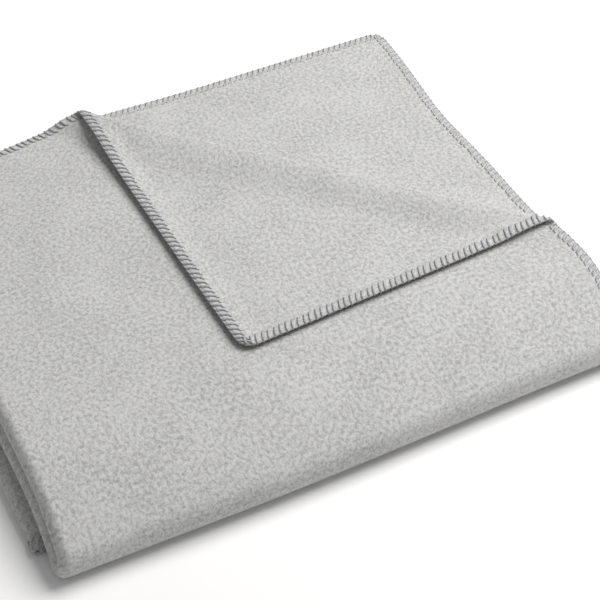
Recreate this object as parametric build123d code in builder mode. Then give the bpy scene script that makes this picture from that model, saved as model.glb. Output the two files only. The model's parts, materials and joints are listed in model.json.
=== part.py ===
from build123d import *
import math
import os

# Folded throw blanket.
# A 1300 x 2000 mm felted cloth is folded in half twice sideways, which gives four plies,
# and the four-ply strip is then folded in three: top leaf over middle leaf over bottom leaf.
# The uppermost ply's back right corner is turned forward as a flap.
# X runs along the front fold, Y from the front fold to the back, Z is up.
# The origin is at the bottom centre of the folded blanket.

# Folded size
width = 500.0
depth = 436.0

# Cloth
ply_thickness = 3.0
ply_pitch = 4.0
plies = 4
leaf_height = plies * ply_pitch
seam_gap = 0.2

# Edging yarn along the cut edges, seen as a bar at the rim of the cloth
edging_width = 1.5

# The top and middle leaves lie a little short of the bottom leaf at the left
upper_leaves_inset = 7.0

# The front fold sinks towards the floor in front of the bottom leaf's free edge
front_drop = 15.0
front_run = 75.0
bottom_leaf_setback = 76.0

# Corner flap: legs of the turned-back corner, and where its tip lies
flap_leg = 315.0
flap_tip = (-48.0, -105.0)
flap_roll_reach = 36.0
flap_roll_rise = 12.0
flap_roll_height = 9.0

# Heights of the leaves' meeting surfaces
half_cloth = ply_thickness / 2
lowest_centre = half_cloth
back_fold_z = lowest_centre + leaf_height - ply_pitch / 2
front_interface_z = back_fold_z + leaf_height
top_ply_z = front_interface_z + leaf_height - ply_pitch / 2
flap_z = top_ply_z + ply_pitch
flap_hinge_z = (top_ply_z + flap_z) / 2

# Radius of each ply's turn round a leaf fold, innermost first
turn_radii = [ply_pitch * (index + 0.5) for index in range(plies)]
fold_outer_radius = turn_radii[-1] + half_cloth

# The two leaf folds
left = -width / 2
right = width / 2
front_fold_y = -depth / 2 + fold_outer_radius
back_fold_y = depth / 2 - fold_outer_radius
drop_start_y = front_fold_y + front_run
drop_angle = 2 * math.degrees(math.atan(front_drop / front_run))
drop_radius = front_run / math.sin(math.radians(drop_angle))
front_fold_z = front_interface_z - front_drop

# Left side turns: plies 1 and 4 round plies 2 and 3
outer_turn = turn_radii[1]
inner_turn = turn_radii[0]
side_reach = outer_turn + half_cloth

# Line of the corner's fold: x + y = fold_sum
fold_sum = right + depth / 2 - flap_leg
flap_back = (fold_sum - depth / 2, depth / 2)
flap_right = (right, fold_sum - right)

os.makedirs("parts", exist_ok=True)


def save(builder, name):
    """Labels a finished piece and writes it to its own file."""
    builder.part.label = name
    export_step(builder.part, f"parts/{name}.step")


def leaf_line(start_y, rise):
    """Draws a ply's line from its back end to the front fold, rise above the leaves' meeting line."""
    height = front_interface_z + rise
    level = Line((start_y, height), (drop_start_y, height))
    TangentArc(
        level @ 1,
        (
            front_fold_y + seam_gap - rise * math.sin(math.radians(drop_angle)),
            front_fold_z + rise * math.cos(math.radians(drop_angle)),
        ),
        tangent=level % 1,
    )


def drooping_slab(start_y, rise, x_start, x_end, missing_corner=None):
    """A ply of the top or middle leaf, between two places across the blanket."""
    with BuildPart() as slab:
        with BuildSketch(Plane.YZ.offset(x_start)):
            with BuildLine():
                leaf_line(start_y, rise)
            trace(line_width=ply_thickness)
        extrude(amount=x_end - x_start)
        if missing_corner:
            with BuildSketch(Plane.XY.offset(top_ply_z - ply_pitch)):
                with BuildLine():
                    Polyline(*missing_corner, close=True)
                make_face()
            extrude(amount=2 * ply_pitch, mode=Mode.SUBTRACT)
    return slab


def flat_slab(x_start, x_end, y_start, y_end, centre_z):
    """A flat ply or a bar of edging."""
    with BuildPart() as slab:
        with BuildSketch(Plane.XY.offset(centre_z - half_cloth)):
            with BuildLine():
                Polyline(
                    (x_start, y_start), (x_end, y_start), (x_end, y_end), (x_start, y_end), close=True
                )
            make_face()
        extrude(amount=ply_thickness)
    return slab


def leaf_fold(centre_y, centre_z, radius, start_angle):
    """One ply's half turn round a leaf fold."""
    with BuildPart() as fold:
        with BuildSketch(Plane.YZ.offset(upper_left + ply_pitch)):
            with BuildLine():
                CenterArc((centre_y, centre_z), radius, start_angle, 180)
            trace(line_width=ply_thickness)
        extrude(amount=right - edging_width - upper_left - ply_pitch)
    return fold


def drooping_side_turn(start_y, rise, centre_x, radius, start_angle):
    """A sideways half turn of the top or middle leaf, from the back end to the front fold."""
    with BuildPart() as turn:
        with BuildLine(Plane.YZ):
            leaf_line(start_y, rise)
        with BuildSketch(Plane((0, start_y, front_interface_z + rise), x_dir=(1, 0, 0), z_dir=(0, -1, 0))):
            with BuildLine():
                CenterArc((centre_x, 0), radius, start_angle, 180)
            trace(line_width=ply_thickness)
        sweep()
    return turn


def flat_side_turn(y_start, y_end, centre_x, centre_z, radius, start_angle):
    """A sideways half turn of the bottom leaf."""
    with BuildPart() as turn:
        with BuildSketch(Plane((0, y_end, centre_z), x_dir=(1, 0, 0), z_dir=(0, -1, 0))):
            with BuildLine():
                CenterArc((centre_x, 0), radius, start_angle, 180)
            trace(line_width=ply_thickness)
        extrude(amount=y_end - y_start)
    return turn


upper_left = left + upper_leaves_inset
upper_turn_x = upper_left + side_reach
bottom_turn_x = left + side_reach
right_turn_x = right - inner_turn - half_cloth
cut_edge_x = right - edging_width
top_back_y = depth / 2 - edging_width
bottom_front_y = -depth / 2 + bottom_leaf_setback

# Plies 1 and 2 end in a cut edge at the right, plies 3 and 4 in their turn
ply_ends = [cut_edge_x, cut_edge_x, right_turn_x - seam_gap, right_turn_x - seam_gap]

# Top leaf, plies numbered from the top. Ply 1 lacks the corner that is turned back
roll_margin = flap_roll_reach * math.sqrt(2)
turned_corner = [
    (flap_back[0] - roll_margin, depth / 2),
    (right, depth / 2),
    (right, flap_right[1] - roll_margin),
]
for index in range(plies):
    ply_rise = leaf_height - ply_pitch * (index + 0.5)
    ply_left = upper_turn_x + seam_gap
    if index == 0:
        ply = drooping_slab(top_back_y, ply_rise, ply_left, ply_ends[index], turned_corner)
        edging_end = turned_corner[0][0]
    else:
        ply = drooping_slab(top_back_y, ply_rise, ply_left, ply_ends[index])
        edging_end = ply_ends[index]
    save(ply, f"top_ply_{index + 1}")
    edging_z = front_interface_z + ply_rise
    edging = flat_slab(ply_left, edging_end, top_back_y, depth / 2, edging_z)
    save(edging, f"top_back_edging_{index + 1}")

# Middle leaf, plies numbered from the bottom, so that each keeps its number round the folds
for index in range(plies):
    ply_rise = ply_pitch * (index + 0.5) - leaf_height
    ply = drooping_slab(back_fold_y - seam_gap, ply_rise, upper_turn_x + seam_gap, ply_ends[index])
    save(ply, f"middle_ply_{index + 1}")

# Bottom leaf, plies numbered from the top, and its free front edge
for index in range(plies):
    ply_z = back_fold_z - turn_radii[index]
    ply = flat_slab(
        bottom_turn_x + seam_gap,
        ply_ends[index],
        bottom_front_y + edging_width,
        back_fold_y - seam_gap,
        ply_z,
    )
    save(ply, f"bottom_ply_{index + 1}")
    edging = flat_slab(
        bottom_turn_x + seam_gap, ply_ends[index], bottom_front_y, bottom_front_y + edging_width, ply_z
    )
    save(edging, f"bottom_front_edging_{index + 1}")

# Cut edges at the right: plies 1 and 2 of each leaf
for index in range(2):
    ply_rise = leaf_height - ply_pitch * (index + 0.5)
    top_bar = drooping_slab(
        top_back_y, ply_rise, cut_edge_x, right, None if index else turned_corner
    )
    save(top_bar, f"top_side_edging_{index + 1}")
    middle_bar = drooping_slab(back_fold_y - seam_gap, -ply_rise, cut_edge_x, right)
    save(middle_bar, f"middle_side_edging_{index + 1}")
    bottom_bar = flat_slab(
        cut_edge_x,
        right,
        bottom_front_y + edging_width,
        back_fold_y - seam_gap,
        back_fold_z - turn_radii[index],
    )
    save(bottom_bar, f"bottom_side_edging_{index + 1}")

# Sideways turns of the top and middle leaves: outer and inner at the left, one at the right
leaf_middle = leaf_height / 2
left_start = 90
right_start = -90
for leaf, back_y, rise in [
    ("top", top_back_y, leaf_middle),
    ("middle", back_fold_y - seam_gap, -leaf_middle),
]:
    outer = drooping_side_turn(back_y, rise, upper_turn_x, outer_turn, left_start)
    save(outer, f"{leaf}_left_outer_turn")
    inner = drooping_side_turn(back_y, rise, upper_turn_x, inner_turn, left_start)
    save(inner, f"{leaf}_left_inner_turn")
    # Plies 3 and 4 lie on the side of the leaf that faces the other leaf
    turn_rise = rise - math.copysign(ply_pitch, rise)
    turn = drooping_side_turn(back_y, turn_rise, right_turn_x, inner_turn, right_start)
    save(turn, f"{leaf}_right_turn")

# Sideways turns of the bottom leaf
bottom_middle_z = back_fold_z - leaf_middle
turn_front_y = bottom_front_y + edging_width
turn_back_y = back_fold_y - seam_gap
outer = flat_side_turn(turn_front_y, turn_back_y, bottom_turn_x, bottom_middle_z, outer_turn, left_start)
save(outer, "bottom_left_outer_turn")
inner = flat_side_turn(turn_front_y, turn_back_y, bottom_turn_x, bottom_middle_z, inner_turn, left_start)
save(inner, "bottom_left_inner_turn")
turn = flat_side_turn(
    turn_front_y, turn_back_y, right_turn_x, bottom_middle_z - ply_pitch, inner_turn, right_start
)
save(turn, "bottom_right_turn")

# Leaf folds: ply 1 is outermost at the front and innermost at the back
for index in range(plies):
    front_turn = leaf_fold(front_fold_y, front_fold_z, turn_radii[plies - 1 - index], 90 + drop_angle)
    save(front_turn, f"front_fold_{index + 1}")
    back_turn = leaf_fold(back_fold_y, back_fold_z, turn_radii[index], -90)
    save(back_turn, f"back_fold_{index + 1}")

# Turned-back corner: the flap lies on the uppermost ply behind a raised roll
tip_distance = (fold_sum - flap_tip[0] - flap_tip[1]) / math.sqrt(2)
flap_share = (flap_roll_reach + edging_width) / tip_distance


def between(start, end, share):
    """The point a share of the way from one place to another."""
    return tuple(a + (b - a) * share for a, b in zip(start, end))


flap_outline = [
    between(flap_back, flap_tip, flap_share),
    flap_tip,
    between(flap_right, flap_tip, flap_share),
]
with BuildPart() as flap_edging:
    with BuildSketch(Plane.XY.offset(flap_z - half_cloth)) as edging_outline:
        with BuildLine():
            Polyline(*flap_outline)
            offset(amount=edging_width, side=Side.LEFT, kind=Kind.INTERSECTION)
        make_face()
    extrude(amount=ply_thickness)
save(flap_edging, "flap_edging")

with BuildPart() as corner_flap:
    with BuildSketch(Plane.XY.offset(flap_z - half_cloth)):
        with BuildLine():
            Polyline(*flap_outline, close=True)
        make_face()
        add(edging_outline.sketch, mode=Mode.SUBTRACT)
    extrude(amount=ply_thickness)
save(corner_flap, "corner_flap")

# The roll's section stands across the fold line, beyond its back end, and the roll is then trimmed
# to the blanket's outline
roll_section = Plane(
    (flap_back[0] - width, flap_back[1] + width, 0), x_dir=(1, 1, 0), z_dir=(1, -1, 0)
)
roll_start = flap_roll_reach - 3 * seam_gap
roll_line = [
    (-roll_start, top_ply_z),
    (0, top_ply_z + flap_roll_rise - flap_roll_height),
    (flap_roll_height / 2, top_ply_z + flap_roll_rise - flap_roll_height / 2),
    (0, top_ply_z + flap_roll_rise),
    (-roll_start, flap_z),
]
with BuildPart() as flap_roll:
    with BuildSketch(roll_section):
        with BuildLine():
            Line(roll_line[0], roll_line[1])
            ThreePointArc(*roll_line[1:4])
            Line(roll_line[3], roll_line[4])
        trace(line_width=ply_thickness)
    extrude(amount=3 * width)
    with BuildSketch(Plane.XY):
        Rectangle(width, depth)
    extrude(amount=2 * top_ply_z, mode=Mode.INTERSECT)
save(flap_roll, "flap_roll")

print("front fold axis", front_fold_y, front_interface_z)
print("back fold axis", back_fold_y, back_fold_z)
print("flap hinge", between(flap_back, flap_right, 0.5), flap_hinge_z)
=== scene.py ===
# %% [markdown]
# # A folded throw blanket
#
# The object is one large sheet of felted wool, folded in half twice sideways and then in three,
# with its cut edges overcast in grey yarn and one corner of the upper ply turned back.
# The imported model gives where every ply, fold and hinge is. It is loaded first and never changed.

import json
import math

import bpy
import numpy as np
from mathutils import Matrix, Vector


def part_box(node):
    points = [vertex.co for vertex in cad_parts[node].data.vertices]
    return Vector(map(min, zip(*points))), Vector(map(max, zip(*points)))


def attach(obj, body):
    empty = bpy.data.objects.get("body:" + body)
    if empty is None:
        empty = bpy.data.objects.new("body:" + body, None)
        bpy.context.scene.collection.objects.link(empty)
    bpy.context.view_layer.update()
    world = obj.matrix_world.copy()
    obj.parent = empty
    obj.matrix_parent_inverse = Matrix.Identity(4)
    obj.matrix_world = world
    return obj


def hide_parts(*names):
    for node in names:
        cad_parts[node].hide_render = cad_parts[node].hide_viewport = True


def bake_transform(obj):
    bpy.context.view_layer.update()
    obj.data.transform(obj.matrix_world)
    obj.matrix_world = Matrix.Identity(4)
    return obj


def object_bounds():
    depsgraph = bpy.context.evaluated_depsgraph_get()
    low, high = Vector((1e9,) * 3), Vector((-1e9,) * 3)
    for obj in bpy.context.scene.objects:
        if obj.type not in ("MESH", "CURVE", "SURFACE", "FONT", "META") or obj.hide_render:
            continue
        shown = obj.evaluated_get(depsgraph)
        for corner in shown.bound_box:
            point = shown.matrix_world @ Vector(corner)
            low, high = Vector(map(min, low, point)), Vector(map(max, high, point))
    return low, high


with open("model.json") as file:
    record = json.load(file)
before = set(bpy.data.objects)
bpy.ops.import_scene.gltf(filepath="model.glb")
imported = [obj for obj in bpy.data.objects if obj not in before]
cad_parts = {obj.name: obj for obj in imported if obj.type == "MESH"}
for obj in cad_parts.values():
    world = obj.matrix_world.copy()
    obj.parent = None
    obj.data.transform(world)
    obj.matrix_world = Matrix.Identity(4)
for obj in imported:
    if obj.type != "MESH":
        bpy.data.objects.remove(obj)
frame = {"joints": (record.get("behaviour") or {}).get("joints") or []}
cad_low, cad_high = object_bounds()
bpy.ops.object.select_all(action="DESELECT")
print("packed model", [round(x, 3) for x in cad_low], [round(x, 3) for x in cad_high])

# %% [markdown]
# ## Camera, floor and light
#
# The blanket is seen from above its front left corner with a long lens, so its edges stay nearly
# parallel. It lies on a plain white table under a wide key light, high on the right and a little
# behind, so the front and the left side are darker. A white surround, the table and a weak fill
# from the front right light them.

# %% Camera
CAMERA_PLACE = Vector((-0.459, -1.064, 1.143))
CAMERA_DIRECTION = Vector((0.310, 0.636, -0.707))
camera_data = bpy.data.cameras.new("camera")
camera_data.lens = 113.5
camera_data.sensor_width = 36
camera = bpy.data.objects.new("camera", camera_data)
bpy.context.scene.collection.objects.link(camera)
camera.location = CAMERA_PLACE
camera.rotation_mode = "QUATERNION"
camera.rotation_quaternion = CAMERA_DIRECTION.to_track_quat("-Z", "Y")
bpy.context.scene.camera = camera
print("camera at", [round(x, 3) for x in camera.location])


# %% Colours and nodes
def linear(hex_colour):
    """Turns an sRGB hex colour into the linear colour that a shader needs."""
    parts = [int(hex_colour[i : i + 2], 16) / 255 for i in (1, 3, 5)]
    return [x / 12.92 if x <= 0.04045 else ((x + 0.055) / 1.055) ** 2.4 for x in parts] + [1.0]


def add_node(material, kind, settings=None, **inputs):
    """Adds a node, sets its properties, and sets or links each input named by its label."""
    node = material.node_tree.nodes.new("ShaderNode" + kind)
    for key, value in (settings or {}).items():
        setattr(node, key, value)
    for label, value in inputs.items():
        is_number = label[1:].isdigit()
        socket = node.inputs[int(label[1:]) if is_number else label.replace("_", " ")]
        if isinstance(value, bpy.types.NodeSocket):
            material.node_tree.links.new(value, socket)
        else:
            socket.default_value = value
    return node


def new_material(name):
    """An empty material and its Principled shader, already joined to the output."""
    material = bpy.data.materials.new(name)
    material.use_nodes = True
    return material, material.node_tree.nodes["Principled BSDF"]


print("sRGB #808080 is", [round(x, 3) for x in linear("#808080")], "to a shader")


# %% Floor and lights
FLOOR_GAP = 0.0003
bpy.ops.mesh.primitive_plane_add(size=8, location=(0, 0, -FLOOR_GAP))
floor = bpy.context.object
floor.name = "floor"
floor_material, floor_shader = new_material("white_table")
floor_shader.inputs["Base Color"].default_value = linear("#fdfdfd")
floor_shader.inputs["Roughness"].default_value = 0.9
floor.data.materials.append(floor_material)


def area_light(name, place, target, size, watts, colour):
    """A square soft light that faces a point."""
    data = bpy.data.lights.new(name, "AREA")
    data.size = size
    data.energy = watts
    data.color = linear(colour)[:3]
    light = bpy.data.objects.new(name, data)
    bpy.context.scene.collection.objects.link(light)
    light.location = place
    light.rotation_mode = "QUATERNION"
    light.rotation_quaternion = (Vector(target) - Vector(place)).to_track_quat("-Z", "Y")
    return light


area_light("key", (1.35, 0.12, 1.85), (0, 0, 0), 1.6, 61, "#fffefc")
area_light("fill", (1.5, -1.4, 2.2), (0, 0, 0), 2.4, 2, "#f8faff")
world = bpy.data.worlds.new("white_surround")
bpy.context.scene.world = world
world.use_nodes = True
world.node_tree.nodes["Background"].inputs["Color"].default_value = linear("#ffffff")
world.node_tree.nodes["Background"].inputs["Strength"].default_value = 0.28
bpy.context.scene.view_settings.view_transform = "Standard"
print("floor, two lights and a white surround")

# %% [markdown]
# ## The folded cloth as one map
#
# A real throw is one flat rectangle. So the cloth is made by a map: it takes a place on the flat
# cloth, u along its length and v across it, and says where that place lies when folded.
# Sideways the cloth goes round like a flat S with an outer turn, which stacks four plies.
# That stack then runs back to front as the top leaf, turns under, runs back as the middle leaf,
# turns under again and comes forward as the bottom leaf. All lengths here are in millimetres.
#
# Blender's cloth simulation could fold a sheet too. But twelve plies pressed on each other are slow
# to simulate and push apart, and the shape of a pressed fold is known, so formulas give it here.

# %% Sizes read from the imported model
MM = 0.001
joints = {joint["name"]: joint for joint in frame["joints"]}


def in_mm(point):
    return [x / MM for x in point]


back_axis = in_mm(joints["back_fold"]["pos_m"])
front_axis = in_mm(joints["front_fold"]["pos_m"])
flap_axis = in_mm(joints["flap_fold"]["pos_m"])
low_mm, high_mm = in_mm(cad_low), in_mm(cad_high)
pitch = (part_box("bottom_ply_1")[0].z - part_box("bottom_ply_4")[0].z) / 3 / MM
cloth_thickness = (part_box("bottom_ply_4")[1].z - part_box("bottom_ply_4")[0].z) / MM
fold_outer_radius = (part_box("back_fold_4")[1].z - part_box("back_fold_4")[0].z) / 2 / MM
front_turn_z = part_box("front_fold_1")[0].z / MM + fold_outer_radius
leaf_height = 4 * pitch
leaf_middle = leaf_height / 2
front_drop = front_axis[2] - front_turn_z
print("pitch", round(pitch, 2), "cloth", round(cloth_thickness, 2), "front sinks by", round(front_drop, 2))

# %% Lengths of the leaves across the cloth
# The run over which the front sinks, and how far the hidden bottom edge lies behind the front.
FRONT_RUN = 75.0
BOTTOM_EDGE_SETBACK = 38.0
drop_angle = 2 * math.atan(front_drop / FRONT_RUN)
drop_radius = FRONT_RUN / math.sin(drop_angle)
back_edge_y = high_mm[1]
drop_start_y = front_axis[1] + FRONT_RUN
level_length = back_edge_y - drop_start_y
TOP = level_length + drop_radius * drop_angle
TURN = math.pi * leaf_middle
MIDDLE = TOP - (back_edge_y - back_axis[1])
bottom_edge_y = low_mm[1] + BOTTOM_EDGE_SETBACK
BOTTOM = back_axis[1] - bottom_edge_y
V_TOP_END = TOP
V_FRONT_END = V_TOP_END + TURN
V_MIDDLE_END = V_FRONT_END + MIDDLE
V_BACK_END = V_MIDDLE_END + TURN
V_END = V_BACK_END + BOTTOM
print("cloth across", round(V_END))

# %% Lengths of the plies along the cloth
inner_turn = pitch / 2
outer_turn = 1.5 * pitch
right_edge_x = high_mm[0]
left_turn_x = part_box("top_left_outer_turn")[1].x / MM
bottom_left_turn_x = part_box("bottom_left_outer_turn")[1].x / MM
right_turn_x = right_edge_x - inner_turn - cloth_thickness / 2
cut_ply = right_edge_x - left_turn_x
turned_ply = right_turn_x - left_turn_x
stretches = [
    cut_ply,
    math.pi * inner_turn,
    turned_ply,
    math.pi * inner_turn,
    turned_ply,
    math.pi * outer_turn,
    cut_ply,
]
U_BREAKS = [0.0] + list(np.cumsum(stretches))
U_END = U_BREAKS[-1]
print("cloth along", round(U_END))


# %% The sideways folds
def smooth(t):
    """Rises gently from 0 to 1."""
    t = np.clip(t, 0, 1)
    return t * t * (3 - 2 * t)


def sideways(u, v):
    """Place across the blanket and height within its leaf, for a place on the flat cloth."""
    shift = smooth((v - V_MIDDLE_END) / TURN) * (bottom_left_turn_x - left_turn_x)
    turn_x = left_turn_x + shift
    share = [(u - U_BREAKS[i]) / stretches[i] for i in range(len(stretches))]
    angle = [np.clip(s, 0, 1) * math.pi for s in share]
    ply_2 = right_edge_x + (turn_x - right_edge_x) * share[0]
    ply_3 = turn_x + (right_turn_x - turn_x) * share[2]
    ply_4 = right_turn_x + (turn_x - right_turn_x) * share[4]
    ply_1 = turn_x + (right_edge_x - turn_x) * share[6]
    x = [
        ply_2,
        turn_x - inner_turn * np.sin(angle[1]),
        ply_3,
        right_turn_x + inner_turn * np.sin(angle[3]),
        ply_4,
        turn_x - outer_turn * np.sin(angle[5]),
        ply_1,
    ]
    h = [
        2.5 * pitch + 0 * u,
        2 * pitch + inner_turn * np.cos(angle[1]),
        1.5 * pitch + 0 * u,
        pitch + inner_turn * np.cos(angle[3]),
        0.5 * pitch + 0 * u,
        2 * pitch - outer_turn * np.cos(angle[5]),
        3.5 * pitch + 0 * u,
    ]
    part = np.clip(np.searchsorted(U_BREAKS, u, side="right") - 1, 0, len(stretches) - 1)
    return np.choose(part, x), np.choose(part, h)


edge_x, edge_h = sideways(np.array([U_END]), np.zeros(1))
print("right cut edge of the upper ply at x, h", edge_x.round(1), edge_h.round(1))


# %% The three leaves and the two turns between them
def meeting_line(s):
    """The line between the top and middle leaves: place, and the direction that points up from it."""
    angle = np.clip((s - level_length) / drop_radius, 0, None)
    y = np.where(s < level_length, back_edge_y - s, drop_start_y - drop_radius * np.sin(angle))
    z = front_axis[2] - drop_radius * (1 - np.cos(angle))
    return y, z, -np.sin(angle), np.cos(angle)


def lengthways(v, h):
    """Place from front to back and height, for a place across the flat cloth, h above its leaf's foot."""
    ay, az, up_y, up_z = meeting_line(v)
    top = (ay + h * up_y, az + h * up_z)
    angle = (v - V_TOP_END) / leaf_middle
    ey, ez, end_y, end_z = meeting_line(np.full_like(v, TOP))
    ahead_y, ahead_z = -end_z, end_y
    front = (
        ey + h * (end_y * np.cos(angle) + ahead_y * np.sin(angle)),
        ez + h * (end_z * np.cos(angle) + ahead_z * np.sin(angle)),
    )
    by, bz, up_y, up_z = meeting_line(V_FRONT_END + TOP - v)
    middle = (by - h * up_y, bz - h * up_z)
    angle = (v - V_MIDDLE_END) / leaf_middle
    g = leaf_height - h
    back = (back_axis[1] + g * np.sin(angle), back_axis[2] + g * np.cos(angle))
    cy = back_axis[1] - (v - V_BACK_END)
    bottom = (cy, cloth_thickness / 2 + (leaf_height - pitch / 2 - g) * squeeze(cy))
    part = np.searchsorted([V_TOP_END, V_FRONT_END, V_MIDDLE_END, V_BACK_END], v, side="right")
    y = np.choose(part, [top[0], front[0], middle[0], back[0], bottom[0]])
    z = np.choose(part, [top[1], front[1], middle[1], back[1], bottom[1]])
    return y, z


PRESSED_PER_MM = 0.07


def squeeze(y):
    """How far the bottom leaf is pressed together under the sinking front, 1 where it isn't."""
    past = np.clip(drop_start_y - y, 0, None)
    sunk = past**2 / (2 * drop_radius)
    return 1 - PRESSED_PER_MM * sunk


edge_y, edge_z = lengthways(np.array([V_END]), np.array([leaf_height - pitch / 2]))
print("upper ply of the bottom leaf ends at y, z", edge_y.round(1), edge_z.round(1))


# %% [markdown]
# ## The turned-back corner
#
# The upper ply's corner is lifted, rolled over a soft diagonal fold and laid back on the ply.
# Places past the fold line are moved along the roll: up a low ramp, round the fold's nose, over
# its crest and down again to the ply. Felt is springy, so the crest stands well above the ply,
# and higher at the blanket's back edge, where nothing holds it down. The flap's cut edges stand
# a little off the ply too, so that a shadow shows under them.

# %% The corner's fold
# The lists run in even steps from the fold's back end to its right end.
FLAP_TIP = (-45.0, -112.0)
ROLL_RADIUS = 3.5
CREST_HEIGHTS = (13.5, 12.5, 12.0, 11.5, 10.0)
RAMP_LENGTHS = (22.0, 66.0, 46.0, 40.0, 34.0)
CREST_RUN = 40.0
EDGE_LIFTS = (9.0, 3.0, 2.6, 2.6, 2.6)
EDGE_LIFT_RUN = 26.0
DIAGONAL = math.sqrt(2)
fold_sum = flap_axis[0] + flap_axis[1]
corner_across = (right_edge_x + back_edge_y - fold_sum) / DIAGONAL
corner_along = (right_edge_x - back_edge_y) / DIAGONAL
tip_across = (fold_sum - FLAP_TIP[0] - FLAP_TIP[1]) / DIAGONAL
tip_along = (FLAP_TIP[0] - FLAP_TIP[1]) / DIAGONAL
roll_turn = math.pi * ROLL_RADIUS
flap_stretch = tip_across / (corner_across - roll_turn)
flap_shear = (tip_along - corner_along) / corner_across
fold_from = (fold_sum - 2 * back_edge_y) / DIAGONAL
fold_to = (2 * right_edge_x - fold_sum) / DIAGONAL
print("flap stretch", round(flap_stretch, 3), "shear", round(flap_shear, 3))


def along_fold(values, q):
    """Runs smoothly through evenly spaced values, from the fold's back end to its right end."""
    place = q * (len(values) - 1)
    total = values[0] + 0 * place
    for k in range(len(values) - 1):
        total = total + (values[k + 1] - values[k]) * smooth(place - k)
    return total


def upper_ply_z(y):
    """Height of the upper ply's middle surface, flat and then sinking to the front."""
    # The distance past the start is kept below the radius, where the square root would fail.
    radius = drop_radius + leaf_height - pitch / 2
    past = np.clip(drop_start_y - y, 0, 0.9 * radius)
    level = front_axis[2] + leaf_height - pitch / 2
    return level - radius + np.sqrt(radius**2 - past**2)


def turn_corner(x, y, z):
    """Moves the upper ply's places past the diagonal fold line round the roll and onto the ply."""
    across = (x + y - fold_sum) / DIAGONAL
    along = (x - y) / DIAGONAL + flap_shear * np.clip(across, 0, None)
    q = np.clip((along - fold_from) / (fold_to - fold_from), 0, 1)
    crest = along_fold(CREST_HEIGHTS, q)
    ramp = along_fold(RAMP_LENGTHS, q)
    angle = np.clip(across / ROLL_RADIUS, 0, math.pi)
    past = np.clip(across - roll_turn, 0, None) * flap_stretch
    in_front = np.where(across <= 0, -across, past)
    ramp_z = (crest - 2 * ROLL_RADIUS) * smooth(1 - in_front / ramp)
    roll_z = crest - ROLL_RADIUS - ROLL_RADIUS * np.cos(angle)
    inside = smooth((right_edge_x - x) / EDGE_LIFT_RUN) * smooth((back_edge_y - y) / EDGE_LIFT_RUN)
    lift = along_fold(EDGE_LIFTS, q) * (1 - inside) * smooth(past / EDGE_LIFT_RUN)
    flap_z = ramp_z + pitch + (2 * ROLL_RADIUS - pitch) * (1 - smooth(past / CREST_RUN)) + lift
    rise = np.where(across <= 0, ramp_z, np.where(past <= 0, roll_z, flap_z))
    new_across = np.where(across <= 0, across, ROLL_RADIUS * np.sin(angle) - past)
    new_x = (new_across + along) / DIAGONAL + fold_sum / 2
    new_y = (new_across - along) / DIAGONAL + fold_sum / 2
    moved = across > -ramp
    return (
        np.where(moved, new_x, x),
        np.where(moved, new_y, y),
        np.where(moved, upper_ply_z(new_y) + rise, z),
    )


# %% Softness: slow rises, and round corners
def loft(x, y):
    """Slow rises and dips of the soft stack, as a share of its height: three waves out of step."""
    return (
        0.012 * np.sin(x / 61 + 0.7) * np.sin(y / 83 + 1.9)
        + 0.009 * np.sin(x / 37 - y / 52 + 0.4)
        + 0.006 * np.sin(x / 24 + y / 29 + 2.2)
    )


CORNER_ROUND = 14.0
CORNER_FULLNESS = 0.8


def corner_rounded(u, v):
    """Pulls the cloth's four corners in, as soft felt corners are."""
    from_u = np.minimum(u, U_END - u)
    from_v = np.minimum(v, V_END - v)
    p = np.clip(1 - from_u / CORNER_ROUND, 0, None)
    q = np.clip(1 - from_v / CORNER_ROUND, 0, None)
    less_u = CORNER_ROUND * p * (1 - np.sqrt(1 - CORNER_FULLNESS * np.clip(q, 0, 1) ** 2 / 2))
    less_v = CORNER_ROUND * q * (1 - np.sqrt(1 - CORNER_FULLNESS * np.clip(p, 0, 1) ** 2 / 2))
    return u + np.where(u < U_END / 2, less_u, -less_u), v + np.where(v < V_END / 2, less_v, -less_v)


# %% How the stack has settled
LEFT_LEAN = 9.5
LEAN_HEIGHT = 38.0
LEFT_FADE = 110.0
RIGHT_FADE = 140.0
RIGHT_BULGE = {"most": 12.0, "y": -140.0, "width": 55.0}
RIGHT_HOLLOW = {"most": 5.0, "y": 85.0, "width": 60.0}
FRONT_FORWARD = 2.5
FRONT_SKEW = 11.0
FRONT_SKEW_FROM_X = 280.0
FRONT_SKEW_RUN = 400.0
FRONT_FADE_FROM_Y = drop_start_y + 25
FRONT_FADE = 95.0
BACK_SKEW = 12.0
BACK_SKEW_FROM_X = -50.0
BACK_SKEW_RUN = 110.0
BACK_FADE = 180.0


def swell(y, shape):
    """A soft swelling along the right side."""
    return shape["most"] * np.exp(-(((y - shape["y"]) / shape["width"]) ** 2))


def settled(x, y, z):
    """How a hand-folded stack departs from a neat box: its foot spreads and its leaves lie askew."""
    at_left = smooth((LEFT_FADE - (x - low_mm[0])) / LEFT_FADE)
    at_right = smooth((RIGHT_FADE - (high_mm[0] - x)) / RIGHT_FADE)
    to_front = smooth((FRONT_FADE_FROM_Y - y) / FRONT_FADE)
    to_back = smooth((BACK_FADE - (high_mm[1] - y)) / BACK_FADE)
    in_top_leaf = smooth((z - front_axis[2] + inner_turn) / pitch)
    lean = -LEFT_LEAN * (1 - z / LEAN_HEIGHT) * at_left
    bulge = (swell(y, RIGHT_BULGE) - swell(y, RIGHT_HOLLOW)) * at_right
    forward = FRONT_FORWARD + FRONT_SKEW * smooth((FRONT_SKEW_FROM_X - x) / FRONT_SKEW_RUN)
    inward = BACK_SKEW * smooth((BACK_SKEW_FROM_X - x) / BACK_SKEW_RUN) * in_top_leaf
    return x + lean + bulge, y - forward * to_front - inward * to_back


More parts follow.
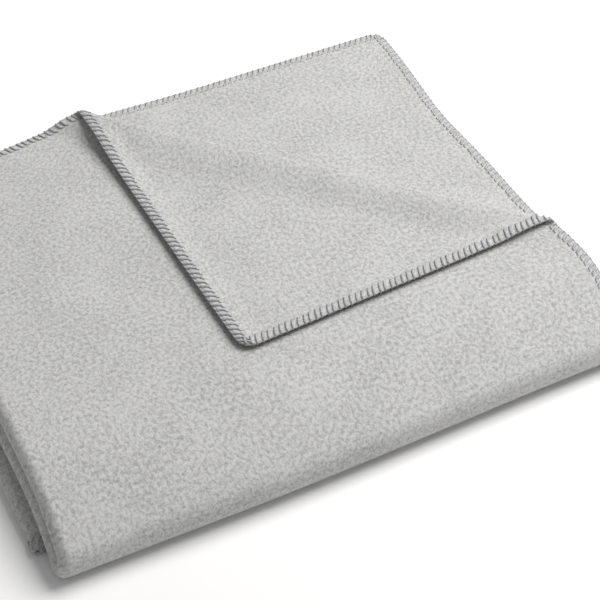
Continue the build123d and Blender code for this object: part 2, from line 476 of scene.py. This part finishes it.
# %% The map of the cloth
def cloth(u, v):
    """Where a place on the flat cloth lies in the folded blanket, at the middle of its thickness."""
    u, v = corner_rounded(u, v)
    x, h = sideways(u, v)
    y, z = lengthways(v, h)
    fx, fy, fz = turn_corner(x, y, z)
    upper = (u > U_BREAKS[6]) & (v < V_TOP_END)
    x, y, z = np.where(upper, fx, x), np.where(upper, fy, y), np.where(upper, fz, z)
    lofted = z * (1 + loft(x, y))
    x, y = settled(x, y, z)
    return np.stack([x, y, lofted], axis=-1)


left_end = cloth(np.array([U_BREAKS[6]]), np.zeros(1))[0]
print("the upper ply leaves its left turn, at the back, at", left_end.round(1))

# %% The cloth's thickness and its faces
RIM_ROUND = 1.6
RIM_FULLNESS = 0.85
STITCH_BITE = 7.0
STITCH_PRESS = 0.22
# The gaps between pressed plies close first, so their cloth thins later than the leaf does.
GAP_SPARE = 1.2


def half_thickness(u, v):
    """Half of the cloth's thickness: rounded at the cut rims, pressed flatter by the stitches."""
    rim = np.minimum(np.minimum(u, U_END - u), np.minimum(v, V_END - v))
    rounded = np.sqrt(1 - RIM_FULLNESS * (1 - np.clip(rim / RIM_ROUND, 0, 1)) ** 2)
    pressed = 1 - STITCH_PRESS * (1 - smooth((rim - 0.5 * STITCH_BITE) / STITCH_BITE))
    bottom_y = back_axis[1] - (v - V_BACK_END)
    thinned = np.where(v > V_BACK_END, np.minimum(1, GAP_SPARE * squeeze(bottom_y)), 1)
    return cloth_thickness / 2 * rounded * pressed * thinned


def directions(u, v, step=0.05):
    """Unit directions on the cloth: along u, along v, and outwards from it."""
    du = cloth(u + step, v) - cloth(u - step, v)
    dv = cloth(u, v + step) - cloth(u, v - step)
    du /= np.linalg.norm(du, axis=-1, keepdims=True)
    dv /= np.linalg.norm(dv, axis=-1, keepdims=True)
    out = np.cross(dv, du)
    return du, dv, out / np.linalg.norm(out, axis=-1, keepdims=True)


def face_of_cloth(u, v, side):
    """A place on one face of the cloth: side 1 is the outer face and -1 the inner."""
    return cloth(u, v) + side * directions(u, v)[2] * half_thickness(u, v)[..., None]


def face_normal(u, v, side, step=0.15):
    """The direction that one face of the cloth looks in."""
    du = face_of_cloth(u + step, v, side) - face_of_cloth(u - step, v, side)
    dv = face_of_cloth(u, v + step, side) - face_of_cloth(u, v - step, side)
    out = side * np.cross(dv, du)
    return out / np.linalg.norm(out, axis=-1, keepdims=True)


rim_and_inside = half_thickness(np.array([0.0, 60.0]), np.full(2, 60.0))
print("half thickness at a rim and inside", rim_and_inside.round(2))

# %% [markdown]
# ## Laying the cloth out in pieces
#
# The blanket is one cloth, but its leaves swing apart, so the mesh is divided where the leaves
# meet their turns. Each piece is a grid on the flat cloth sent through the map, with an outer and
# an inner face and closed rims. The faces' directions come from the map too, so that two pieces
# that meet look like one cloth. The flat place, in metres, is the UV map that the felt's grain reads.

# %% Grid lines on the flat cloth
RIM_LINES = [0, 0.3, 0.8, 1.6, 3.2, 5.4]


def lines(start, end, step, rim_at_start=False, rim_at_end=False):
    """Places from start to end, closer together beside a cut rim."""
    inner_start = start + (RIM_LINES[-1] + step / 2 if rim_at_start else 0)
    inner_end = end - (RIM_LINES[-1] + step / 2 if rim_at_end else 0)
    count = max(1, round((inner_end - inner_start) / step))
    places = list(np.linspace(inner_start, inner_end, count + 1))
    if rim_at_start:
        places = [start + x for x in RIM_LINES] + places
    if rim_at_end:
        places = places + [end - x for x in reversed(RIM_LINES)]
    return places


def joined(*parts):
    """One list of grid lines from several, without doubles."""
    places = []
    for part in parts:
        places += [x for x in part if not places or x > places[-1] + 1e-6]
    return np.array(places)


COARSE = 8.0
FINE = 2.2
along_under = joined(
    lines(U_BREAKS[0], U_BREAKS[1], COARSE, rim_at_start=True),
    np.linspace(U_BREAKS[1], U_BREAKS[2], 9),
    lines(U_BREAKS[2], U_BREAKS[3], COARSE),
    np.linspace(U_BREAKS[3], U_BREAKS[4], 9),
    lines(U_BREAKS[4], U_BREAKS[5], COARSE),
)
BESIDE_RAMP_X = 90.0
BESIDE_RAMP_Y = 60.0
flap_start_u = U_BREAKS[6] + (fold_sum - back_edge_y - BESIDE_RAMP_X - left_turn_x)
flap_end_v = back_edge_y - (fold_sum - right_edge_x - BESIDE_RAMP_Y)
along_upper = joined(
    np.linspace(U_BREAKS[5], U_BREAKS[6], 15),
    lines(U_BREAKS[6], flap_start_u, 6),
    lines(flap_start_u, U_END, FINE, rim_at_end=True),
)
across_upper = joined(
    lines(0, flap_end_v, FINE, rim_at_start=True), lines(flap_end_v, V_TOP_END, 4)
)
along_all = joined(
    along_under,
    np.linspace(U_BREAKS[5], U_BREAKS[6], 15),
    lines(U_BREAKS[6], U_END, COARSE, rim_at_end=True),
)
print("grid of the upper ply", len(along_upper), "by", len(across_upper))


# %% Making a sheet from its grid lines
flat_places = {}
OPENED_RADIUS = 14.0


def felt_place(u, v):
    """The flat place. In a turn it is lengthened as the outer face is, so that no fleck looks pulled.

    The front turn's inner plies get the length that they show when the top leaf is opened.
    """
    height = sideways(u, v)[1]
    middle_v = (v.min() + v.max()) / 2
    longer = np.zeros_like(v)
    if V_TOP_END < middle_v < V_FRONT_END:
        opened = OPENED_RADIUS * (1 - smooth(height / leaf_middle))
        radius = np.maximum(height + cloth_thickness / 2, opened)
        longer = (v - V_TOP_END) * (radius / leaf_middle - 1)
    if V_MIDDLE_END < middle_v < V_BACK_END:
        radius = leaf_height - height + cloth_thickness / 2
        longer = (v - V_MIDDLE_END) * (radius / leaf_middle - 1)
    return np.stack([u, v + longer], axis=-1)


def sheet_piece(name, along, across, material):
    """Builds one piece of the cloth as a closed mesh: outer face, inner face and rims."""
    u, v = np.meshgrid(along, across)
    rows, columns = u.shape
    count = rows * columns
    outer = face_of_cloth(u, v, 1).reshape(-1, 3)
    inner = face_of_cloth(u, v, -1).reshape(-1, 3)
    normals = np.concatenate([face_normal(u, v, 1).reshape(-1, 3), face_normal(u, v, -1).reshape(-1, 3)])
    index = np.arange(count).reshape(rows, columns)
    a, b, c, d = index[:-1, :-1], index[1:, :-1], index[1:, 1:], index[:-1, 1:]
    upper = np.stack([np.stack([a, b, c], -1), np.stack([a, c, d], -1)]).reshape(-1, 3)
    lower = upper[:, ::-1] + count
    border = [index[0, ::-1], index[1:, 0], index[-1, 1:], index[-2:0:-1, -1], index[:1, -1]]
    border = np.concatenate(border)
    one, two = border[:-1], border[1:]
    rim = np.concatenate(
        [np.stack([two, one, one + count], -1), np.stack([two, one + count, two + count], -1)]
    )
    faces = np.concatenate([upper, lower, rim])
    points = np.concatenate([outer, inner]) * MM
    mesh = bpy.data.meshes.new(name)
    mesh.from_pydata(points.tolist(), [], faces.tolist())
    corner_vertices = np.zeros(len(mesh.loops), dtype=np.int64)
    mesh.loops.foreach_get("vertex_index", corner_vertices)
    flat_places[name] = np.tile(np.stack([u.ravel(), v.ravel()], -1), (2, 1))
    grain = np.tile(felt_place(u, v).reshape(-1, 2) * MM, (2, 1))
    uv = mesh.uv_layers.new(name="felt_grain")
    uv.data.foreach_set("uv", grain[corner_vertices].astype(np.float32).ravel())
    corner_normals = normals[corner_vertices]
    rim_start = 3 * (len(upper) + len(lower))
    rim_points = points[faces[len(upper) + len(lower) :]]
    rim_normals = np.cross(
        rim_points[:, 1] - rim_points[:, 0], rim_points[:, 2] - rim_points[:, 0]
    )
    rim_normals /= np.maximum(np.linalg.norm(rim_normals, axis=-1, keepdims=True), 1e-12)
    corner_normals[rim_start:] = np.repeat(rim_normals, 3, axis=0)
    mesh.polygons.foreach_set("use_smooth", np.ones(len(faces), dtype=bool))
    mesh.normals_split_custom_set(corner_normals.tolist())
    piece = bpy.data.objects.new(name, mesh)
    bpy.context.scene.collection.objects.link(piece)
    mesh.materials.append(material)
    print(name, len(faces), "triangles")
    return piece


# %% [markdown]
# ## Felted wool
#
# The cloth is a wool blend in two greys, carded together, woven and then felted and brushed, so no
# weave shows: only short light and dark fibres, a few millimetres long, lying every way. It has no
# gloss, and a faint bright nap where it turns away from the eye.

# %% Felted wool material
# In millimetres: a clump of fibres, a few fibres, a patch of uneven carding, and the nap's height.
# A single fibre is too fine to show, so the fibre marks are drawn as coarse as they need to show.
FLECK = 3.1
FIBRE = 1.5
CLOUD = 45.0
NAP = 0.7
felt, felt_shader = new_material("felted_wool_heather_grey")
flat_place = add_node(felt, "UVMap", {"uv_map": "felt_grain"}).outputs["UV"]
flat_noise = {"noise_dimensions": "2D"}
fleck = add_node(
    felt,
    "TexNoise",
    flat_noise,
    Vector=flat_place,
    Scale=1 / (FLECK * MM),
    Detail=3.0,
    Roughness=0.65,
    Distortion=0.25,
)
fibre = add_node(
    felt,
    "TexNoise",
    flat_noise,
    Vector=flat_place,
    Scale=1 / (FIBRE * MM),
    Detail=2.0,
    Roughness=0.6,
    Distortion=0.4,
)
cloud = add_node(felt, "TexNoise", flat_noise, Vector=flat_place, Scale=1 / (CLOUD * MM), Detail=2.0)
flecks = add_node(
    felt, "Math", {"operation": "MULTIPLY_ADD"}, _0=fibre.outputs["Fac"], _1=0.42, _2=fleck.outputs["Fac"]
)
heather = add_node(
    felt, "Math", {"operation": "MULTIPLY_ADD"}, _0=cloud.outputs["Fac"], _1=0.16, _2=flecks.outputs[0]
)
ramp = add_node(felt, "ValToRGB", None, Fac=heather.outputs[0])
ramp.color_ramp.elements[0].position = 0.52
ramp.color_ramp.elements[0].color = linear("#9c9c9b")
ramp.color_ramp.elements[1].position = 0.92
ramp.color_ramp.elements[1].color = linear("#cbcbca")
middle_tone = ramp.color_ramp.elements.new(0.72)
middle_tone.color = linear("#b5b5b4")
felt.node_tree.links.new(ramp.outputs["Color"], felt_shader.inputs["Base Color"])
nap = add_node(felt, "Bump", None, Strength=0.42, Distance=NAP * MM, Height=heather.outputs[0])
felt.node_tree.links.new(nap.outputs["Normal"], felt_shader.inputs["Normal"])
felt_shader.inputs["Roughness"].default_value = 0.95
felt_shader.inputs["Specular IOR Level"].default_value = 0.2
felt_shader.inputs["Sheen Weight"].default_value = 0.15
felt_shader.inputs["Sheen Roughness"].default_value = 0.5
print("felt material, marks", FLECK, FIBRE, CLOUD, "mm")

# %% [markdown]
# ## Wool yarn
#
# The edging is a soft spun wool yarn, dyed a cooler grey than the cloth. Its twist is too fine to
# show at this size, so a fine mottle stands for it, with a slight relief and no gloss.

# %% Overcast yarn material
TWIST_MARK = 1.2
TWIST_DEPTH = 0.3
yarn, yarn_shader = new_material("wool_yarn_mid_grey")
place = add_node(yarn, "TexCoord").outputs["Object"]
strand = add_node(yarn, "TexNoise", None, Vector=place, Scale=1 / (TWIST_MARK * MM), Detail=2.0)
yarn_ramp = add_node(yarn, "ValToRGB", None, Fac=strand.outputs["Fac"])
yarn_ramp.color_ramp.elements[0].position = 0.3
yarn_ramp.color_ramp.elements[0].color = linear("#96979a")
yarn_ramp.color_ramp.elements[1].position = 0.7
yarn_ramp.color_ramp.elements[1].color = linear("#cdced0")
yarn.node_tree.links.new(yarn_ramp.outputs["Color"], yarn_shader.inputs["Base Color"])
yarn_bump = add_node(
    yarn, "Bump", None, Strength=0.5, Distance=TWIST_DEPTH * MM, Height=strand.outputs["Fac"]
)
yarn.node_tree.links.new(yarn_bump.outputs["Normal"], yarn_shader.inputs["Normal"])
yarn_shader.inputs["Roughness"].default_value = 0.9
yarn_shader.inputs["Specular IOR Level"].default_value = 0.2
print("yarn material, mark", TWIST_MARK, "mm")

# %% The six pieces of cloth
upper_ply = sheet_piece("upper_ply_cloth", along_upper, across_upper, felt)
across_top = joined(lines(0, V_TOP_END, COARSE, rim_at_start=True))
across_front = np.linspace(V_TOP_END, V_FRONT_END, 19)
across_middle = joined(lines(V_FRONT_END, V_MIDDLE_END, COARSE))
across_back = np.linspace(V_MIDDLE_END, V_BACK_END, 19)
across_bottom = joined(lines(V_BACK_END, V_END, COARSE, rim_at_end=True))
under_plies = sheet_piece("top_leaf_under_plies", along_under, across_top, felt)
front_turn = sheet_piece("front_fold_cloth", along_all, across_front, felt)
middle_leaf = sheet_piece("middle_leaf_cloth", along_all, across_middle, felt)
back_turn = sheet_piece("back_fold_cloth", along_all, across_back, felt)
bottom_leaf = sheet_piece("bottom_leaf_cloth", along_all, across_bottom, felt)


# %% [markdown]
# ## The overcast edge
#
# A thick grey yarn is sewn over every cut edge in slanted bars, about 6 mm apart and 7 mm deep, and
# a strand runs along the rim. A bump in the material could hint at them, but they stand proud of
# the rim and throw small shadows, so they are modelled. One bar is a bent length of yarn, drawn as a
# curve with a round section, and each copy is set on the cloth's edge by the map that folds it.

# %% One stitch
YARN_RADIUS = 1.15
PROUD = 0.45
STITCH_PITCH = 5.7
SLANT = 1.6
RIM_THINNING = 0.62
rim_half = RIM_THINNING * cloth_thickness / 2 + 0.2 * YARN_RADIUS
stitch_route = [
    (SLANT + 0.45 * STITCH_PITCH, STITCH_BITE, rim_half - 0.1),
    (SLANT + 0.1 * STITCH_PITCH, STITCH_BITE + 0.3, rim_half + 0.3),
    (0.6 * SLANT, 0.7 * STITCH_BITE, rim_half + PROUD),
    (-0.4 * SLANT, 0.3 * STITCH_BITE, rim_half + PROUD),
    (-SLANT, -0.3, rim_half + 0.1),
    (-SLANT, -1.0, 0.0),
    (-SLANT, -0.3, -rim_half - 0.1),
    (-0.4 * SLANT, 0.3 * STITCH_BITE, -rim_half - PROUD),
    (0.6 * SLANT, 0.7 * STITCH_BITE, -rim_half - PROUD),
    (SLANT + 0.1 * STITCH_PITCH, STITCH_BITE + 0.3, -rim_half - 0.3),
    (SLANT + 0.45 * STITCH_PITCH, STITCH_BITE, -rim_half + 0.1),
]
bpy.ops.curve.primitive_nurbs_path_add()
stitch = bpy.context.object
stitch_curve = stitch.data
stitch_spline = stitch_curve.splines[0]
stitch_spline.points.add(len(stitch_route) - len(stitch_spline.points))
for point, place in zip(stitch_spline.points, stitch_route):
    point.co = (*place, 1)
stitch_spline.order_u = 3
stitch_spline.use_endpoint_u = True
stitch_spline.resolution_u = 1
stitch_curve.bevel_depth = YARN_RADIUS
stitch_curve.bevel_resolution = 1
bpy.ops.object.convert(target="MESH")
stitch_points = np.array([v.co for v in stitch.data.vertices])
stitch_faces = [list(p.vertices) for p in stitch.data.polygons]
bpy.data.objects.remove(stitch)
stitch_size = (stitch_points.max(0) - stitch_points.min(0)).round(1)
print("one stitch has", len(stitch_faces), "faces and is", stitch_size, "mm")


# %% Sewing along an edge
EDGES = {
    "first_long": lambda t, depth: (t, depth),
    "second_long": lambda t, depth: (t, V_END - depth),
    "first_short": lambda t, depth: (depth, t),
    "second_short": lambda t, depth: (U_END - depth, t),
}
RING_SIDES = 6
STRAND_STEPS = 4


def by_edge(edge, t, depth, beyond, out_by):
    """Places by a cut edge: t along it, depth inside it, or beyond its rim, and out_by off the cloth."""
    u, v = EDGES[edge](t, depth)
    du, dv, out = directions(u, v)
    inwards = {"first_long": dv, "second_long": -dv, "first_short": du, "second_short": -du}[edge]
    places = cloth(u, v) - inwards * beyond[..., None] + out * out_by[..., None]
    places[..., 2] = np.maximum(places[..., 2], 0.1)
    return places


def sewn(edge, start, end):
    """Points, faces and flat places of the stitches and the rim strand along part of a cut edge."""
    count = max(1, round((end - start) / STITCH_PITCH))
    spacing = (end - start) / count
    middles = start + (np.arange(count) + 0.5) * spacing
    # The bars differ in place and in length by up to about half a millimetre, as sewing leaves them.
    uneven = np.sin(middles * 1.7) * 0.25 + np.sin(middles * 0.61 + 1) * 0.2
    longer = 1 + 0.06 * np.sin(middles * 0.9 + 0.5)
    t = (middles + uneven)[:, None] + stitch_points[None, :, 0]
    deep = longer[:, None] * stitch_points[None, :, 1]
    out_by = np.broadcast_to(stitch_points[:, 2], t.shape)
    bars = by_edge(edge, t, np.clip(deep, 0, None), np.clip(-deep, 0, None), out_by).reshape(-1, 3)
    faces = []
    for k in range(count):
        faces += [[x + k * len(stitch_points) for x in face] for face in stitch_faces]
    steps = STRAND_STEPS * count
    along_rim = np.linspace(start, end, steps + 1)
    angle = np.arange(RING_SIDES) / RING_SIDES * 2 * math.pi
    # The rim strand swings out a little once for each bar, so that it doesn't look like a wire.
    bulge = 0.35 + 0.4 * np.abs(np.sin((along_rim - start) / spacing * math.pi))
    radius = 0.8 * YARN_RADIUS
    beyond = bulge[:, None] + radius * np.cos(angle)[None, :]
    ring_t = np.repeat(along_rim[:, None], RING_SIDES, axis=1)
    ring_out = np.broadcast_to(radius * np.sin(angle), ring_t.shape)
    strand = by_edge(edge, ring_t, 0 * ring_t, beyond, ring_out).reshape(-1, 3)
    base = len(bars)
    for s in range(steps):
        for k in range(RING_SIDES):
            one = base + s * RING_SIDES + k
            two = base + s * RING_SIDES + (k + 1) % RING_SIDES
            faces.append([one, two, two + RING_SIDES, one + RING_SIDES])
    faces.append([base + k for k in range(RING_SIDES)][::-1])
    faces.append([base + steps * RING_SIDES + k for k in range(RING_SIDES)])
    flat_t = np.concatenate([t.ravel(), ring_t.ravel()])
    flat_depth = np.concatenate([np.clip(deep, 0, None).ravel(), 0 * ring_t.ravel()])
    return np.concatenate([bars, strand]), faces, np.stack(EDGES[edge](flat_t, flat_depth), -1)


def edging_piece(name, parts):
    """One piece of edging from stretches of cut edge, and each vertex's place on the flat cloth."""
    all_points, all_faces, places, offset = [], [], [], 0
    for edge, start, end in parts:
        points, faces, sewn_places = sewn(edge, start, end)
        all_points.append(points)
        all_faces += [[x + offset for x in face] for face in faces]
        places.append(sewn_places)
        offset += len(points)
    mesh = bpy.data.meshes.new(name)
    mesh.from_pydata((np.concatenate(all_points) * MM).tolist(), [], all_faces)
    piece = bpy.data.objects.new(name, mesh)
    bpy.context.scene.collection.objects.link(piece)
    mesh.materials.append(yarn)
    bpy.context.view_layer.objects.active = piece
    piece.select_set(True)
    bpy.ops.object.mode_set(mode="EDIT")
    bpy.ops.mesh.select_all(action="SELECT")
    bpy.ops.mesh.normals_make_consistent(inside=False)
    bpy.ops.object.mode_set(mode="OBJECT")
    bpy.ops.object.shade_smooth()
    piece.select_set(False)
    flat_places[name] = np.concatenate(places)
    print(name, len(all_faces), "faces")
    return piece


upper_edging = edging_piece(
    "upper_ply_edging", [("first_long", U_BREAKS[6], U_END), ("second_short", 0, V_TOP_END)]
)
under_edging = edging_piece(
    "top_leaf_under_edging", [("first_long", 0, U_BREAKS[6]), ("first_short", 0, V_TOP_END)]
)
front_edging = edging_piece(
    "front_fold_edging", [(edge, V_TOP_END, V_FRONT_END) for edge in ("first_short", "second_short")]
)
middle_edging = edging_piece(
    "middle_leaf_edging", [(edge, V_FRONT_END, V_MIDDLE_END) for edge in ("first_short", "second_short")]
)
back_edging = edging_piece(
    "back_fold_edging", [(edge, V_MIDDLE_END, V_BACK_END) for edge in ("first_short", "second_short")]
)
bottom_edging = edging_piece(
    "bottom_leaf_edging",
    [
        ("first_short", V_BACK_END, V_END),
        ("second_short", V_BACK_END, V_END),
        ("second_long", 0, U_END),
    ],
)

# %% [markdown]
# ## What each piece moves with
#
# A leaf's cloth rides on its leaf. For the turns between the leaves, each place on the flat cloth
# has a share of the hinge's motion worked out, from none where it joins one leaf to all where it
# joins the other. On the corner's roll that share follows the angle round the hinge, as the opened
# flap lies flat where the roll was. The shares are worked out but not put on the pieces.


# %% Shares of each hinge's motion
FRONT_STIFFNESS = 5.0
SETTLING_RUN = 60.0


def flap_share(u, v):
    """Share of the flap's motion at a place on the flat upper ply."""
    x = left_turn_x + (right_edge_x - left_turn_x) * (u - U_BREAKS[6]) / stretches[6]
    y = back_edge_y - v
    across = (x + y - fold_sum) / DIAGONAL
    nx, ny, nz = turn_corner(x, y, upper_ply_z(y))
    behind = -(nx + ny - fold_sum) / DIAGONAL
    above = nz - flap_axis[2]
    turned = np.arctan2(above, behind)
    reach = np.maximum(np.hypot(above, behind), 1e-6)
    lying = np.arcsin(np.clip(smooth(behind / SETTLING_RUN) * pitch / 2 / reach, 0, 1))
    share = np.clip(1 - (turned - lying) / math.pi, 0, 1)
    begins = smooth(across / (0.5 * roll_turn))
    return np.where(across > 0, share * begins, 0.0)


def front_share(u, v):
    """Share of the top leaf's motion. The outer plies keep their turn and bend only by that leaf."""
    height = sideways(u, v)[1]
    left = 1 - np.clip((v - V_TOP_END) / TURN, 0, 1)
    return left ** (1 + FRONT_STIFFNESS * height / leaf_height)


def back_share(u, v):
    """Share of the middle leaf's motion, even round the turn."""
    return 1 - np.clip((v - V_MIDDLE_END) / TURN, 0, 1)


def bend(piece, share):
    """Bakes a piece's transform and works out its share of the hinge's motion at each vertex, which is not
    kept.
    """
    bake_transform(piece)
    u, v = flat_places[piece.name].T
    share(u, v).astype(np.float32)


for piece in (upper_ply, upper_edging):
    bend(piece, flap_share)
for piece in (front_turn, front_edging):
    bend(piece, front_share)
for piece in (back_turn, back_edging):
    bend(piece, back_share)
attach(under_plies, "top_leaf")
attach(under_edging, "top_leaf")
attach(middle_leaf, "middle_leaf")
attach(middle_edging, "middle_leaf")
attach(bottom_leaf, "bottom_leaf")
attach(bottom_edging, "bottom_leaf")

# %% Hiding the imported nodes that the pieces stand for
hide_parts("top_ply_1", "corner_flap", "flap_roll", "top_left_outer_turn")
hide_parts("top_back_edging_1", "top_side_edging_1", "flap_edging")
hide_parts("top_ply_2", "top_ply_3", "top_ply_4", "top_left_inner_turn", "top_right_turn")
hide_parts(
    "top_back_edging_2", "top_back_edging_3", "top_back_edging_4", "top_side_edging_2"
)
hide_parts(*[f"front_fold_{k}" for k in range(1, 5)])
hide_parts(*[f"back_fold_{k}" for k in range(1, 5)])
for piece, leaf in [(middle_leaf, "middle"), (bottom_leaf, "bottom")]:
    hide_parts(*[f"{leaf}_ply_{k}" for k in range(1, 5)])
    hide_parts(f"{leaf}_left_outer_turn", f"{leaf}_left_inner_turn", f"{leaf}_right_turn")
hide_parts("middle_side_edging_1", "middle_side_edging_2")
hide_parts("bottom_side_edging_1", "bottom_side_edging_2")
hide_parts(*[f"bottom_front_edging_{k}" for k in range(1, 5)])
